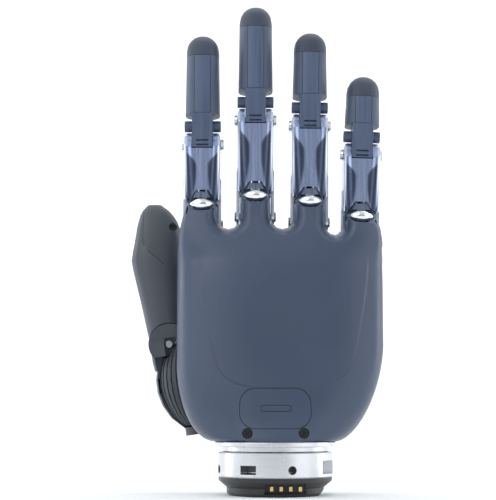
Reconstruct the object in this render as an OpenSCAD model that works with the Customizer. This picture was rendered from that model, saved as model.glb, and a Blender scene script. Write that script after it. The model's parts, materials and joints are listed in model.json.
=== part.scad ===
/* [Wrist] */
// Outer radius of the wrist ring, the surface that a socket's collar grips
ring_r = 25; // [23:0.5:28]
// Height of the wrist ring
ring_h = 10.7; // [9:0.1:13]
// Wall of the wrist ring
ring_wall = 4.4; // [3.5:0.1:5]
// Height of the open groove between the ring and the hand's flange
groove_h = 2.3; // [1.5:0.1:4]
// How far the hand's flange stands out past the ring
flange_lip = 1.2; // [0.8:0.1:2]
// Thickness of the hand's flange
flange_h = 1.9; // [1.5:0.1:3]
// Radius of the round holes for the collar's screws
screw_hole_r = 1.8; // [1:0.1:2]
// Height of the round holes above the ring's lower face
screw_hole_z = 3.4; // [3:0.1:6]
// Depth of the wrist plug below the ring
plug_h = 7.7; // [6:0.1:12]

/* [Palm] */
// Half width of the palm on the thumb side
palm_left = 42.7; // [41:0.1:46]
// Half width of the palm on the little finger side
palm_right = 47.1; // [46:0.1:50]
// Thickness of the palm from its middle plane to the back of the hand
palm_back = 18; // [17:0.1:21]
// Thickness of the palm from its middle plane to the palm's face
palm_face = 18; // [17:0.1:19]
// Half width of the column under each finger
column_w = 7.6; // [7.4:0.05:7.8]
// Width of the service cover
cover_w = 29.7; // [24:0.1:32]
// Height of the service cover
cover_h = 16.7; // [14:0.1:18]
// Thickness of the service cover
cover_t = 3; // [2:0.1:3.5]
// Travel of the power button
button_travel = 0.6; // [0.4:0.1:0.8]

/* [Fingers] */
// Width of a proximal link at the knuckle
link_w = 16.4; // [15.8:0.1:16.8]
// Depth of a finger from its middle plane to its back
finger_back = 7.6; // [7:0.1:8]
// Radius of the hinge pins
pin_r = 1.6; // [1.2:0.1:1.8]
// Distance of the coupler bar's pins from the hinge pins
crank = 4.5; // [4.3:0.1:4.7]
// Width of a finger's tongue
tongue_w = 9; // [8:0.1:9.4]
// Height of the knuckle's silver barrel above the knuckle pin
barrel_z = 8.1; // [7.6:0.1:8.4]
// Width across a fingertip
tip_w = 14.5; // [13.5:0.1:15]

/* [Thumb] */
// Radius of the bellows at its widest
bellows_r = 13; // [12:0.1:13.4]
// Half length of the bellows along the thumb's turning axis
bellows_h = 22; // [21:0.1:23]
// Number of folds that show beside the palm
fold_count = 5; // [4:1:6]
// Lean of the thumb's turning axis away from the palm
thumb_lean = 8; // [6:0.5:9]
// Thickness of the thumb from its middle plane
thumb_half = 8; // [7:0.1:8.2]

/* [Hidden] */
$fn = 48;
eps = 0.01;
// Running clearance of a pin in its bore, radial
run = 0.05;
// Clearance between pieces that move past each other
gap = 0.35;
// Clearance between pieces that are fixed side by side
seam = 0.12;

// Wrist
plug_r = ring_r - 0.5;
spigot_r = ring_r - ring_wall - 0.5;
flange_z = ring_h + groove_h;
palm_z = flange_z + flange_h + 0.1;
hub_r = 12;
hub_top = palm_z + 7;
hole_angle = -74.5;

// Fingers: place across the palm, knuckle height above the palm's foot, lean, length of each link
FINGERS = [[-31.8, 94.4, 0, 36.1, 48.8], [-8.6, 98.2, 0.2, 43.3, 51],
    [15.05, 95.8, 0.65, 43.2, 41.7], [37, 89.1, 2, 36.7, 35.1]];
function across(f) = FINGERS[f][0];
function knuckle_z(f) = palm_z + FINGERS[f][1];
function lean(f) = FINGERS[f][2];
function reach(f) = FINGERS[f][3];
function tip_at(f) = FINGERS[f][4];

housing_w = column_w - 1;
housing_r = 16.2;
housing_front = -9.6;
housing_foot = -6;
ear_in = housing_w + 0.3;
ear_out = ear_in + 1.4;
ear_r = 3.6;
head_out = 9.1;
bar_half = 1.5;
anchor_r = 0.9;
// Radial clearance of the opened pivot at the coupler bar's lower end
open_run = 1.3;
open_eye = anchor_r + open_run + 0.75;
slot_half = bar_half + gap;
link_foot_r = housing_r + gap;
fork_half = tongue_w / 2 + 0.2;
link_half = 7.85;
distal_notch = 13;
lug_z = 8.2;
barrel_half = 5.4;
barrel_r = 2.75;
barrel_y = -8.6;
rim_r = 7.63;
rim_up = 4.13;

// Palm outline in the front view
web_z = [for (h = [92.6, 92.6, 90]) palm_z + h];
column_rise = barrel_z + 1.6;
heel_left = 34;
heel_right = 42;
shoulder_z = palm_z + 79;
function clip(v, low, high) = min(max(v, low), high);
function mix(a, b, t) = a + (b - a) * t;
function heel(z, rise, power) = let(t = clip((z - palm_z) / rise, 0, 1))
    pow(1 - pow(1 - t, power), 1 / power);
function left_x(z) = -mix(ring_r + 1, palm_left, heel(z, heel_left, 2))
    + 3.7 * pow(max(0, z - shoulder_z) / 22.6, 2);
function right_x(z) = mix(ring_r + 1.3, palm_right, heel(z, heel_right, 1.7))
    - 3.4 * pow(max(0, z - shoulder_z) / 17.8, 3.5);
// Depth of the back and of the palm's face along the height
function back_y(z) = palm_back / 18
    * lookup(z - palm_z, [[0, 24], [10, 21.5], [25, 19.6], [45, 18.4], [75, 17.2], [90, 14.4], [98, 12.6],
    [106, 11.8]]);
function face_y(z) = palm_face / 18
    * lookup(z - palm_z, [[0, 24], [15, 21.8], [35, 19], [75, 18], [85, 16.5], [93, 14], [106, 11]]);
function roundness(z) = lookup(z - palm_z, [[0, 2], [25, 2.8], [77, 2.9], [97, 6], [110, 6]]);

// The upper edge of the back (side 0) runs over the four columns and down round the three webs.
// That of the palm's face (side 1) stays below the curled links, with a low ridge between fingers.
inner_u = [-1, -0.8, -0.35, 0.35, 0.8, 1];
outer_u = [1, 0.98, 0.88, 0.6, -0.2, -1];
column_u = [-outer_u, inner_u, inner_u, [for (k = [5:-1:0]) outer_u[k]]];
column_n = len(inner_u);
period = column_n + 9;
half_w = [column_w, column_w + 1.7];
rise = [column_rise, -finger_back - 0.7];
ridge = 4;
// Ends and height of a column's top, moved in by the distance d: [left, right, z]
function span(side, f, d) = let(z = knuckle_z(f) + rise[side] - d, w = half_w[side] - (side == 0 ? d : 0))
    [f == 0 ? left_x(z) : across(f) - w, f == 3 ? right_x(z) : across(f) + w, z];
function column_point(side, f, u, d) = let(e = span(side, f, d)) [mix(e[0], e[1], (u + 1) / 2), e[2]];
function web_point(side, f, k, d) = let(
    a = span(side, f, d), b = span(side, f + 1, d), t = (k + 1) / 10,
    r = (b[0] - a[1]) / 2, z = web_z[f] + r - d)
    side == 1 ? [mix(a[1], b[0], t), mix(a[2], b[2], t) + ridge * sin(180 * t)]
    : k == 0 ? [a[1], (a[2] + z) / 2]
    : k == 8 ? [b[0], (b[2] + z) / 2]
    : [a[1] + r - r * cos(k * 30 - 30), z - r * sin(k * 30 - 30)];
function upper_point(side, c, d) = let(f = floor(c / period), k = c % period)
    k < column_n ? column_point(side, f, column_u[f][k], d) : web_point(side, f, k - column_n, d);
// Rows of the palm's surface: even ones by their share of the height, then ones between, then the
// upper edge moved in by a distance
even_rows = [0, 0.03, 0.08, 0.16, 0.28, 0.42, 0.58, 0.78, 1];
even_h = 66;
between_rows = [0.35, 0.65, 0.88];
round_d = 6;
edge_rows = [round_d, 4.3, 2.8, 1.5, 0.5, 0];
last = 3 * period + column_n - 1;
rows = len(even_rows) + len(between_rows) + len(edge_rows);
top_row = rows - 1;
function share(p) = (p[0] - left_x(p[1])) / (right_x(p[1]) - left_x(p[1]));
function even_point(side, c, v) = let(z = palm_z + v * even_h,
    w = mix((1 - cos(180 * c / last)) / 2, share(upper_point(side, c, round_d)), 0.65))
    [mix(left_x(z), right_x(z), w), z];
function flat_point(side, r, c) = let(e = len(even_rows), g = e + len(between_rows))
    r < e ? even_point(side, c, even_rows[r])
    : r < g ? mix(even_point(side, c, 1), upper_point(side, c, round_d), between_rows[r - e])
    : upper_point(side, c, edge_rows[r - g]);
// How round the palm's edge is at height z, at a share w of the way across
function edge(z, w) = let(p = roundness(z)) pow(max(0, 1 - pow(abs(2 * w - 1), p)), 1 / p);
// How full the palm is near the sides of a column or web
function full(side, r, c, x) = let(f = floor(c / period), d = edge_rows[max(0, r - rows + len(edge_rows))],
    e = span(side, f, d),
    s = c % period >= column_n ? d : d + min(f == 0 ? round_d : x - e[0], f == 3 ? round_d : e[1] - x))
    r < rows - len(edge_rows) || s >= round_d ? 1 : sqrt(1 - pow(1 - max(0, s) / round_d, 2));
function palm_point(side, r, c) = let(
    flat = flat_point(side, r, c), z = flat[1],
    w = c == 0 ? 0 : c == last ? 1 : clip(share(flat), 0, 1),
    y = side == 0 ? -back_y(z) : face_y(z))
    [mix(left_x(z), right_x(z), w), (side - 0.5) * seam + y * edge(z, w) * full(side, r, c, flat[0]), z];

// One half of the palm: a sheet over a grid of points, closed by a flat face at the middle plane
module palm_half(side) {
    function at(r, c) = r * (last + 1) + c;
    function turn(f) = side == 0 ? f : [for (k = [len(f) - 1:-1:0]) f[k]];
    sheet = [for (r = [0:rows - 2], c = [0:last - 1])
        each [turn([at(r, c), at(r + 1, c), at(r + 1, c + 1)]), turn([at(r, c), at(r + 1, c + 1), at(r, c + 1)])]];
    foot = turn([for (c = [0:last]) at(0, c)]);
    heads = [for (f = [0:3]) turn([for (k = [column_n - 1:-1:0]) at(top_row, period * f + k)])];
    // The flat face fans out to each column and its two webs from a point below the column
    base_row = len(even_rows) - 3;
    base = (top_row + 1) * (last + 1);
    base_points = [for (k = [0:6]) let(f = floor(k / 2))
        [k % 2 == 0 ? across(f) : (span(side, f, 0)[1] + span(side, f + 1, 0)[0]) / 2,
        (side - 0.5) * seam, palm_z + even_rows[base_row] * even_h]];
    function rim(f) = concat(
        f == 3 ? [for (r = [base_row:top_row]) at(r, last)] : [base + 2 * f + 1, for (k = [4:-1:-1])
            at(top_row, f * period + column_n + k)],
        f == 0 ? [for (r = [top_row:-1:base_row]) at(r, 0)] : [for (k = [0:-1:-5])
            at(top_row, f * period + k), base + 2 * f - 1]);
    fans = [for (f = [0:3]) let(p = rim(f)) for (k = [0:len(p) - 2]) turn([base + 2 * f, p[k], p[k + 1]])];
    lower = turn(concat([for (r = [0:base_row]) at(r, last)], [for (k = [6:-1:0]) base + k],
        [for (r = [base_row:-1:0]) at(r, 0)]));
    polyhedron(concat([for (r = [0:top_row], c = [0:last]) palm_point(side, r, c)], base_points),
        concat(sheet, [foot], heads, fans, [lower]));
}
// A patch of the back of the hand, w by h about a point, down to a flat plane
module palm_patch(x, z, w, h, y_floor) {
    m = 10;
    function at(r, c) = r * (m + 1) + c;
    function up(z, x) = -seam / 2 - back_y(z) * edge(z, (x - left_x(z)) / (right_x(z) - left_x(z)));
    outer = [for (r = [0:m], c = [0:m]) let(px = x + w * (c / m - 0.5), pz = z + h * (r / m - 0.5))
        [px, up(pz, px), pz]];
    corners = [for (c = [[-1, -1], [-1, 1], [1, 1], [1, -1]]) [x + c[0] * w / 2, y_floor, z + c[1] * h / 2]];
    n = (m + 1) * (m + 1);
    sheet = [for (r = [0:m - 1], c = [0:m - 1])
        each [[at(r, c), at(r + 1, c), at(r + 1, c + 1)], [at(r, c), at(r + 1, c + 1), at(r, c + 1)]]];
    polyhedron(concat(outer, corners), concat(sheet, [
        [n + 3, n + 2, n + 1, n],
        concat([for (c = [0:m]) at(0, c)], [n + 3, n]),
        concat([for (c = [m:-1:0]) at(m, c)], [n + 1, n + 2]),
        concat([for (r = [m:-1:0]) at(r, 0)], [n, n + 1]),
        concat([for (r = [0:m]) at(r, m)], [n + 2, n + 3])]));
}

// A box from its two corners
module block(a, b) { translate(a) cube(b - a); }
// A cylinder along X, and one along Y, centred on the origin
module bar_x(r, half) { rotate([0, 90, 0]) cylinder(r = r, h = 2 * half, center = true); }
module bar_y(r, half) { rotate([90, 0, 0]) cylinder(r = r, h = 2 * half, center = true); }
// A flat rounded rectangle, w wide and d deep
module rounded(w, d, r) {
    square([w - 2 * r, d], center = true);
    square([w, d - 2 * r], center = true);
    for (x = [-1, 1], y = [-1, 1])
        translate([x * (w / 2 - r), y * (d / 2 - r)]) circle(r);
}
// A solid through rounded level sections: [z, left, right, back, face]
module loft(sections, power, sides) {
    n = len(sections);
    function ring(s) = [for (k = [0:sides - 1]) let(a = 360 * k / sides,
        x = sign(cos(a)) * pow(abs(cos(a)), 2 / power), y = sign(sin(a)) * pow(abs(sin(a)), 2 / power))
        [(s[1] + s[2]) / 2 + x * (s[2] - s[1]) / 2,
        (s[3] + s[4]) / 2 + y * (s[4] - s[3]) / 2, s[0]]];
    points = [for (s = sections) each ring(s)];
    walls = [for (r = [0:n - 2], k = [0:sides - 1]) let(a = r * sides + k, b = r * sides + (k + 1) % sides)
        each [[a, a + sides, b + sides], [a, b + sides, b]]];
    foot = [[for (k = [0:sides - 1]) k]];
    head = [[for (k = [0:sides - 1]) n * sides - 1 - k]];
    polyhedron(points, concat(walls, foot, head));
}
// Places its children in a finger's own frame, with the knuckle's axis at the origin
module at_finger(f) { translate([across(f), 0, knuckle_z(f)]) rotate([0, lean(f), 0]) children(); }

// ---- Wrist ----
slot_h = 3.7;
wide_slot_h = 5.6;
module ring_slot(angle, arc, z, h) {
    rotate([0, 0, angle - arc / 2]) rotate_extrude(angle = arc)
        translate([spigot_r, z]) square([ring_wall + 2, h]);
}
module wrist_ring() {
    color("gainsboro") difference() {
        rotate([0, 0, hole_angle]) rotate_extrude($fn = 96) polygon([[spigot_r + 0.5, 0.6], [ring_r - 0.5, 0],
            [ring_r, 0.5], [ring_r, ring_h - 0.5], [ring_r - 0.5, ring_h], [spigot_r + 0.5, ring_h]]);
        for (k = [0:3]) {
            rotate([0, 0, hole_angle + 90 * k]) translate([spigot_r, 0, screw_hole_z])
                rotate([0, 90, 0]) cylinder(r = screw_hole_r, h = ring_wall + 3);
        }
        for (k = [0, 1]) {
            ring_slot(241.8 + 180 * k, 16.8, screw_hole_z - slot_h / 2, slot_h);
            ring_slot(-25.2 + 180 * k, 26, screw_hole_z + 1 - wide_slot_h / 2, wide_slot_h);
        }
    }
}
recess_low = -6.6;
recess_top = -2.2;
module wrist_plug() {
    color("dimgray") difference() {
        union() {
            rotate_extrude($fn = 96) polygon([[0, 0], [plug_r, 0], [plug_r, -1.5], [ring_r - 4, -4.4],
                [ring_r - 4, 1 - plug_h], [ring_r - 5, -plug_h], [0, -plug_h]]);
            cylinder(r = spigot_r - 0.4, h = 1.6);
        }
        translate([plug_r, 0, -1.5]) rotate([0, 45, 0]) block([0, -ring_r, -20], [20, ring_r, 20]);
        block([-4.7, -ring_r, recess_low], [12.2, -ring_r + 9, recess_top]);
    }
}
module wrist_contacts() {
    color("gold") for (k = [0:3])
        block([-2.6 + 4 * k, -ring_r + 6.4, recess_low + 1.1], [-1.2 + 4 * k, -ring_r + 9, recess_top - 1.3]);
}
bearing_z = 2.4;
module wrist_bearing() {
    color("ivory") translate([0, 0, bearing_z]) difference() {
        cylinder(r = spigot_r + 0.47, h = 6, $fn = 96);
        translate([0, 0, -1]) cylinder(r = spigot_r + run, h = 8, $fn = 96);
    }
}
module wrist_flange() {
    color("silver") difference() {
        union() {
            translate([0, 0, bearing_z - 0.5]) cylinder(r = spigot_r, h = flange_z, $fn = 96);
            translate([0, 0, ring_h + 0.15]) cylinder(r = ring_r - 2, h = groove_h, $fn = 96);
            translate([0, 0, flange_z]) cylinder(r = ring_r + flange_lip, h = flange_h, $fn = 96);
            cylinder(r = hub_r, h = hub_top);
        }
        translate([0, 0, -1]) cylinder(r = hub_r - 5, h = hub_top + 2);
        translate([0, 0, -1]) cylinder(r = spigot_r - 2, h = flange_z);
    }
}

// ---- Palm ----
cover_x = -0.3;
cover_z = palm_z + 14;
cover_back = 1 + cover_t - back_y(cover_z);
screw_z = palm_z + 3.7;
screw_x = [-12, 11.6];
screw_y = 2.5 - back_y(screw_z);
screw_head = 2.6;
pill_w = 12.6;
pill_h = 2.4;
frame_back = -5.2;
frame_face = -1.2;
motor_r = 5;
motor_y = frame_face + motor_r + 0.1;
motor_h = 26;
gearbox_h = 12;
module cover_outline(grow) {
    translate([cover_x, cover_back, cover_z]) rotate([90, 0, 0])
        linear_extrude(40) rounded(cover_w + 2 * grow, cover_h + 2 * grow, 6.5);
}
module pill(grow) {
    translate([0, -40, cover_z + 0.1]) rotate([-90, 0, 0])
        linear_extrude(60) rounded(pill_w + 2 * grow, pill_h + 2 * grow, pill_h / 2 + grow - eps);
}
// The room inside the palm
module palm_room() {
    block([-25.5, -14, palm_z + 5], [25, 4.2, palm_z + 81]);
    block([24.2, -13.9, palm_z + 14], [30, 4.1, palm_z + 80.8]);
    block([-20.3, 3, palm_z + 5.5], [24.6, 14, palm_z + 77]);
    block([23.8, 2.9, palm_z + 16], [29.6, 13.8, palm_z + 76.8]);
    block([-37.6, -8.8, palm_z + 20], [38.2, 4.5, palm_z + 82]);
    block([37.1, -8.7, palm_z + 30], [42.8, 4.4, palm_z + 81.4]);
    block([-37.4, 3.2, palm_z + 48], [-18.9, 9.3, palm_z + 81.7]);
    block([28.8, 3.4, palm_z + 42.5], [42.6, 9.1, palm_z + 81.8]);
    block([-20.7, 3.3, palm_z + 70], [30.2, 9.2, palm_z + 81.9]);
    translate([0, 0, palm_z - 1]) cylinder(r = hub_r + 0.3, h = 8);
    for (f = [0:3]) at_finger(f) {
        block([-housing_w - 0.15, -9.3, -17], [housing_w + 0.15, 9.5, housing_foot]);
        block([-housing_w - 0.05, frame_back - gap, -27], [housing_w + 0.05, 0, -16]);
    }
}
// The room for a knuckle's housing and the ears that turn on it
module finger_room() {
    for (f = [0:3]) at_finger(f) {
        block([-housing_w - 0.2, housing_front - 0.2, housing_foot - 2], [housing_w + 0.2, 20, 20]);
        for (x = [-1, 1]) {
            translate([x * (ear_in + 1.85), 0, 0]) bar_x(ear_r + 0.6, 2.15);
            block([x > 0 ? ear_in - 0.25 : -head_out - 1.1, -ear_r - 0.5, 0.1],
                [x > 0 ? head_out + 1.1 : 0.25 - ear_in, 20.1, 20.1]);
            block([x > 0 ? ear_in - 0.2 : -head_out - 1.2, 0.2, -ear_r - 0.4],
                [x > 0 ? head_out + 1.2 : 0.2 - ear_in, 20.2, 0.3]);
            translate([x * (column_w + 1.5), 0, 0]) bar_x(pin_r + 1.4, 2.6);
        }
    }
}
// The thumb's turning axis, with its folds centred on the origin
thumb_at = [-38.6, 20, palm_z + 26];
module at_thumb() { translate(thumb_at) rotate([0, -thumb_lean, 0]) children(); }
arc_r = (bellows_h * bellows_h + bellows_r * bellows_r) / (2 * bellows_r);
function fold_r(t, grow) = sqrt(max(0, arc_r * arc_r - t * t)) - arc_r + bellows_r + grow;
cut_t = bellows_h - 1.5;
module spindle(low, high, grow) {
    rotate_extrude() polygon(concat([[0, low]],
        [for (k = [0:12]) let(t = mix(low, high, k / 12)) [fold_r(t, grow), t]], [[0, high]]));
}
cap_wall = 1.2;
module thumb_room() {
    at_thumb() {
        spindle(-cut_t - 0.2, cut_t + 0.2, run);
        rotate([0, 0, cap_start - 85]) rotate_extrude(angle = cap_edge - cap_start + 90) polygon(concat(
            [[0, -cut_t - 0.5]], [for (k = [0:12]) let(t = mix(-cut_t - 0.5, cut_t + 0.5, k / 12))
            [fold_r(t, gap * 2 + cap_wall), t]], [[0, cut_t + 0.5]]));
        translate([0, 0, -cut_t - 4]) cylinder(r = 5, h = 8);
        translate([0, 0, 6]) cylinder(r = 10.2, h = 80);
        block([-1.7, -22, -3.4], [6, 0, 3.4]);
    }
}
module dorsal_shell() {
    color([0.3, 0.35, 0.44]) difference() {
        palm_half(0);
        palm_room();
        finger_room();
        thumb_room();
        cover_outline(0.2);
        for (f = [0:3]) at_finger(f)
            translate([0, -12, barrel_z + rim_up]) bar_y(rim_r, 9.8 + housing_front + 9);
        for (x = screw_x) translate([x, 0, screw_z]) {
            translate([0, screw_y, 0]) bar_y(2.2, screw_head + run);
            translate([0, screw_y, 0]) bar_y(1.3, 12);
        }
    }
}
module palmar_shell() {
    color([0.3, 0.35, 0.44]) difference() {
        palm_half(1);
        palm_room();
        thumb_room();
    }
}
module palm_frame() {
    color("darkgray") {
        difference() {
            union() {
                translate([0, frame_face, 0]) rotate([90, 0, 0]) linear_extrude(frame_face - frame_back)
                    translate([0, palm_z]) polygon([[-20, 7.4], [20, 7.4], [29, 24], [37, 29.5], [41.5, 34],
                        [42, 75], [-37, 75], [-37, 23], [-25.2, 20.4]]);
                block([-hub_r + 3, frame_back + 0.3, hub_top + 0.05], [hub_r - 3, 8, hub_top + 3]);
                for (f = [0:3]) at_finger(f)
                    block([-housing_w + 0.2, frame_back + 0.2, -26],
                        [housing_w - 0.2, frame_face - 0.1, housing_foot - 0.03]);
                for (x = [-18, 20], z = [33, 65]) translate([x, -7.9, palm_z + z]) bar_y(2, 2.72);
            }
            for (x = [1, 16]) translate([x, 0, palm_z + 47]) bar_y(4.5, 20);
        }
    }
}
board_back = -12.2;
module control_board() {
    color("darkgreen") {
        translate([1, board_back + 1.5, palm_z + 49]) rotate([90, 0, 0]) linear_extrude(1.5) rounded(46, 40, 3);
    }
    color("black") {
        block([-8, board_back - 1.4, palm_z + 43], [4, board_back, palm_z + 55]);
        block([10, board_back - 1.1, palm_z + 39], [17, board_back, palm_z + 46]);
        block([-16, board_back - 1, palm_z + 59], [-10, board_back, palm_z + 65]);
    }
}
module finger_motors() {
    color("silver") for (f = [0:3]) at_finger(f)
        translate([0, motor_y, -20 - motor_h]) cylinder(r = motor_r, h = motor_h);
}
module finger_gearboxes() {
    color("dimgray") for (f = [0:3]) at_finger(f) difference() {
        block([-5.6, frame_face + 0.05, -19.9], [5.6, 9, housing_foot - 0.3]);
        translate([0, motor_y, -19.9 - eps]) cylinder(r = 1, h = 4);
    }
}
// Profile of the knuckle housing, a body of revolution about the knuckle's axis
function housing_profile(grow) = [[0, -housing_w - grow], [9.4 + grow, -housing_w - grow],
    [housing_r + grow, -2.55 - grow * 0.4], [housing_r + grow, 2.55 + grow * 0.4],
    [9.4 + grow, housing_w + grow], [0, housing_w + grow]];
module knuckle_housings() {
    color([0.42, 0.48, 0.58]) for (f = [0:3]) at_finger(f) difference() {
        intersection() {
            rotate([0, 90, 0]) rotate_extrude() polygon(housing_profile(0));
            block([-housing_w, housing_front, housing_foot], [housing_w, 9, housing_r + 1]);
        }
        block([-slot_half, -crank - open_eye - 1.3, -open_eye - 1.3], [slot_half, 20, 20]);
        bar_x(pin_r + 0.02, 20);
        translate([0, -crank, 0]) bar_x(anchor_r + 0.02, 4.5);
        translate([0, barrel_y, barrel_z]) bar_x(barrel_r + 0.15, barrel_half + 0.3);
    }
}
module knuckle_barrels() {
    lens_r = (barrel_half * barrel_half + barrel_r * barrel_r) / (2 * barrel_r);
    color("white") for (f = [0:3]) at_finger(f) translate([0, barrel_y, barrel_z])
        rotate([0, 90, 0]) rotate_extrude() polygon(concat([[0, -barrel_half]],
            [for (k = [1:11]) let(x = barrel_half * (k / 6 - 1))
                [sqrt(lens_r * lens_r - x * x) - lens_r + barrel_r, x]], [[0, barrel_half]]));
}
// A headed pin that stands in one ear, from near the middle out to the head
module stub(side) {
    rotate([0, 90 * side, 0]) {
        translate([0, 0, slot_half + 0.1]) cylinder(r = pin_r, h = head_out - slot_half - 0.1);
        translate([0, 0, ear_out + 0.1]) cylinder(r1 = pin_r + 0.9, r2 = pin_r + 0.5, h = head_out - ear_out - 0.1);
    }
}
module knuckle_pins() {
    color("silver") for (f = [0:3]) at_finger(f) {
        stub(-1);
        translate([0, -crank, 0]) bar_x(anchor_r, 4.2);
    }
}
module cover_screws() {
    color("black") for (x = screw_x) translate([x, 0, screw_z]) difference() {
        union() {
            translate([0, screw_y + screw_head / 2, 0]) bar_y(2, screw_head / 2);
            translate([0, screw_y + screw_head + 3, 0]) bar_y(1.2, 4);
        }
        translate([0, screw_y, 0]) rotate([90, 0, 0]) cylinder(r = 1.1, h = 3, center = true, $fn = 6);
    }
}
module service_cover() {
    color([0.28, 0.33, 0.42]) difference() {
        intersection() {
            palm_patch(cover_x, cover_z, cover_w + 1, cover_h + 1, cover_back - 1);
            cover_outline(0);
        }
        pill(0.2);
    }
}
module power_button() {
    color([0.25, 0.3, 0.38]) {
        intersection() {
            palm_patch(cover_x, cover_z, pill_w + 3, pill_h + 2, cover_back - button_travel - 0.3);
            pill(0);
        }
    }
}

// ---- Thumb ----
palm_edge = 262;
cap_edge = 202;
cap_start = 70;
fold_pitch = (palm_edge - cap_edge) / fold_count;
hidden_folds = 7;
skin = 1.3;
high_t = 12.5;
// Above the height high_t the folds start further round, beside the thumb's joint
high_edge = 226;
fold_low = -cut_t + 1.5;
fold_high = cut_t - 2.3;
module skin_band(low, high, from, to, inner, outer) {
    rotate([0, 0, from]) rotate_extrude(angle = to - from) polygon(concat(
        [for (k = [0:7]) let(t = mix(low, high, k / 7)) [fold_r(t, outer), t]],
        [for (k = [7:-1:0]) let(t = mix(low, high, k / 7)) [fold_r(t, inner), t]]));
}
module thumb_bellows() {
    start = cap_edge - hidden_folds * fold_pitch - 4;
    color([0.24, 0.27, 0.31]) at_thumb() {
        skin_band(fold_low, high_t, start, palm_edge, -skin, -skin * 0.5);
        skin_band(high_t - 1, fold_high, high_edge, palm_edge - 0.4, -skin * 0.95, -skin * 0.45);
        for (k = [0:fold_count + hidden_folds - 1]) {
            from = palm_edge - (k + 1) * fold_pitch + 1.6;
            skin_band(fold_low + 0.3, (from > high_edge ? fold_high : high_t) - 0.3, from, from + fold_pitch - 3.2,
                -skin * 0.75, 0);
        }
    }
}
arm_eye = 5;
axle_r = 2;
module thumb_bracket() {
    color("darkgray") at_thumb() difference() {
        union() {
            translate([0, 0, -3]) cylinder(r = arm_eye, h = 6);
            block([-1.3, -thumb_at[1] + frame_face + 0.03, -3], [5, 0, 3]);
        }
        translate([0, 0, -4]) cylinder(r = axle_r + 0.01, h = 8);
    }
}
module thumb_axle() {
    color("silver") at_thumb() translate([0, 0, boss_spans[0][0] + 0.5])
        cylinder(r = axle_r, h = boss_spans[1][1] - boss_spans[0][0] - 1);
}
module thumb_rotation_motor() {
    color("silver") {
        translate([-14, motor_y, palm_z + 19]) cylinder(r = motor_r, h = 24);
        block([-19.6, frame_face + 0.05, palm_z + 43.1], [-8.5, 9, palm_z + 49]);
    }
}
flex_at = [-47, thumb_at[1], palm_z + 43];
flex_r = 9.2;
tongue_half = 2.4;
// Edges of the thumb in the front view and its thickness, by height above the palm's foot
function thumb_left(h) = lookup(h, [[29, -53.2], [35, -54.8], [45.3, -56.5], [55, -58.7], [65, -61],
    [75, -63.6], [81, -64.7], [85, -64.2], [88.5, -63.5], [96, -62.4], [101.8, -61], [105, -59.4], [106.6, -57.4]]);
function thumb_right(h) = lookup(h, [[29, -37.5], [45, -38.6], [53, -40.4], [60, -41], [77, -41.3],
    [79, -41.6], [82, -41], [89, -41.5], [93, -42], [96, -42.7], [100.2, -44.4], [103.4, -46.8], [105, -48.6],
    [106.6, -51.2]]);
function thumb_depth(h) = thumb_half * lookup(h, [[29, 1], [81, 1], [90, 0.95], [97, 0.82], [102, 0.62],
    [105, 0.42], [106.6, 0.25], [107.5, 0.1]]);
module thumb_loft(heights) {
    loft([for (h = heights) [palm_z + h, thumb_left(h), thumb_right(h),
        thumb_at[1] - thumb_depth(h), thumb_at[1] + thumb_depth(h)]], 2.5, 32);
}
module thumb_digit() {
    thumb_loft([45.3, 49, 55, 63, 71, 77, 81, 85, 89, 93, 96.5, 99.5, 102, 104.2, 105.8, 106.8]);
}
// The two bosses that turn on the axle, above and below the bracket's arm
boss_spans = [[-cut_t + 2, -3], [3, high_t + 1]];
module boss(s) {
    rotate_extrude() polygon([[0, s[0]], [min(4.8, fold_r(s[0], -skin - gap)), s[0]],
        [4.8, s[0] + 2], [4.8, s[1]], [0, s[1]]]);
}
module thumb_base() {
    color([0.3, 0.33, 0.37]) difference() {
        union() {
            at_thumb() {
                skin_band(-cut_t, cut_t, cap_start, cap_edge, gap, gap + cap_wall);
                translate([0, 0, -cut_t - 3]) cylinder(r = 4.2, h = 3.6);
                for (s = boss_spans) {
                    boss(s);
                    a = s[0] + 0.2;
                    b = s[1] - 0.2;
                    rotate([0, 0, cap_start + 1]) rotate_extrude(angle = 20) polygon([[0, a], [0, b],
                        [fold_r(b, gap + 0.5), b], [fold_r((a + b) / 2, gap + 0.5), (a + b) / 2],
                        [fold_r(a, gap + 0.5), a]]);
                }
                spindle(high_t, cut_t, -skin - gap);
            }
            intersection() {
                union() {
                    thumb_loft([31, 35, 39, 43.5]);
                    translate(flex_at) bar_y(flex_r, thumb_half - 0.4);
                }
                at_thumb() {
                    rotate([0, 0, cap_start]) rotate_extrude(angle = cap_edge - cap_start)
                        translate([0, -40]) square([40, 90]);
                    rotate([0, 0, cap_start + 1.5]) rotate_extrude(angle = high_edge - 3.5 - cap_start)
                        translate([0, high_t + gap]) square([40, 40]);
                    translate([0, 0, cut_t + 0.3]) cylinder(r = 40, h = 40);
                }
            }
        }
        at_thumb() {
            difference() {
                spindle(-cut_t - 0.2, cut_t + 0.2, gap);
                for (s = boss_spans) boss(s);
                rotate([0, 0, cap_start - 4]) rotate_extrude(angle = 26) translate([0, boss_spans[0][0] + 0.1])
                    square([20, 2 * cut_t]);
                spindle(high_t, cut_t, -skin - gap);
            }
            translate([0, 0, -3.3]) cylinder(r = 14, h = 6.6);
            translate([0, 0, -40]) cylinder(r = axle_r + run, h = 40 + cut_t - 6.5);
        }
        translate(flex_at) {
            bar_y(pin_r + 0.01, 20);
            bar_y(5, tongue_half + gap);
            rotate([90, 0, 0]) linear_extrude(2 * (tongue_half + gap), center = true)
                polygon([[-3.2, -3], [-15, 9.6], [6, 14], [5, 0]]);
        }
    }
}
module thumb_hinge_pin() {
    color("silver") translate(flex_at) bar_y(pin_r, thumb_half - 1.2);
}
stem_lean = -8;
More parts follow.
